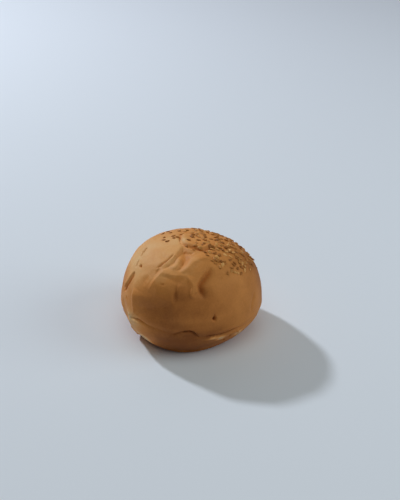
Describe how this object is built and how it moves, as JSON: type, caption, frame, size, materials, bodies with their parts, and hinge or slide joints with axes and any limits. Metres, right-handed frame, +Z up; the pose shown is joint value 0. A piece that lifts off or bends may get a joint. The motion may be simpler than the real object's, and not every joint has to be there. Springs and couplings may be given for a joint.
{
  "type": "bread roll",
  "caption": "Soft round bread roll with a smooth golden crust, a flat foot and sesame seeds scattered on its crown.",
  "frame": {"origin": "centre of the roll's bounding box, on the floor that its flat foot rests on", "axes": "+Z up, through the foot and the crown; +X to the side that carries most of the seeds; +Y to the back, with the creased side facing -Y"},
  "size_m": [0.1, 0.1006, 0.0682],
  "materials": {
    "crust": "golden brown baked crust, smooth and softly matt, paler round the foot",
    "sesame": "toasted sesame, tan with browner edges, low satin sheen"
  },
  "bodies": {
    "root": {"bread_roll": "crust", "sesame_seed_01": "sesame", "sesame_seed_02": "sesame", "sesame_seed_03": "sesame", "sesame_seed_04": "sesame", "sesame_seed_05": "sesame", "sesame_seed_06": "sesame", "sesame_seed_07": "sesame", "sesame_seed_08": "sesame", "sesame_seed_09": "sesame", "sesame_seed_10": "sesame", "sesame_seed_11": "sesame", "sesame_seed_12": "sesame", "sesame_seed_13": "sesame", "sesame_seed_14": "sesame", "sesame_seed_15": "sesame", "sesame_seed_16": "sesame", "sesame_seed_17": "sesame", "sesame_seed_18": "sesame", "sesame_seed_19": "sesame", "sesame_seed_20": "sesame", "sesame_seed_21": "sesame", "sesame_seed_22": "sesame", "sesame_seed_23": "sesame", "sesame_seed_24": "sesame", "sesame_seed_25": "sesame", "sesame_seed_26": "sesame", "sesame_seed_27": "sesame", "sesame_seed_28": "sesame", "sesame_seed_29": "sesame", "sesame_seed_30": "sesame", "sesame_seed_31": "sesame", "sesame_seed_32": "sesame", "sesame_seed_33": "sesame", "sesame_seed_34": "sesame", "sesame_seed_35": "sesame", "sesame_seed_36": "sesame", "sesame_seed_37": "sesame", "sesame_seed_38": "sesame", "sesame_seed_39": "sesame", "sesame_seed_40": "sesame", "sesame_seed_41": "sesame", "sesame_seed_42": "sesame", "sesame_seed_43": "sesame", "sesame_seed_44": "sesame", "sesame_seed_45": "sesame", "sesame_seed_46": "sesame", "sesame_seed_47": "sesame", "sesame_seed_48": "sesame", "sesame_seed_49": "sesame", "sesame_seed_50": "sesame", "sesame_seed_51": "sesame", "sesame_seed_52": "sesame", "sesame_seed_53": "sesame", "sesame_seed_54": "sesame", "sesame_seed_55": "sesame", "sesame_seed_56": "sesame", "sesame_seed_57": "sesame", "sesame_seed_58": "sesame", "sesame_seed_59": "sesame"}
  },
  "joints": []
}
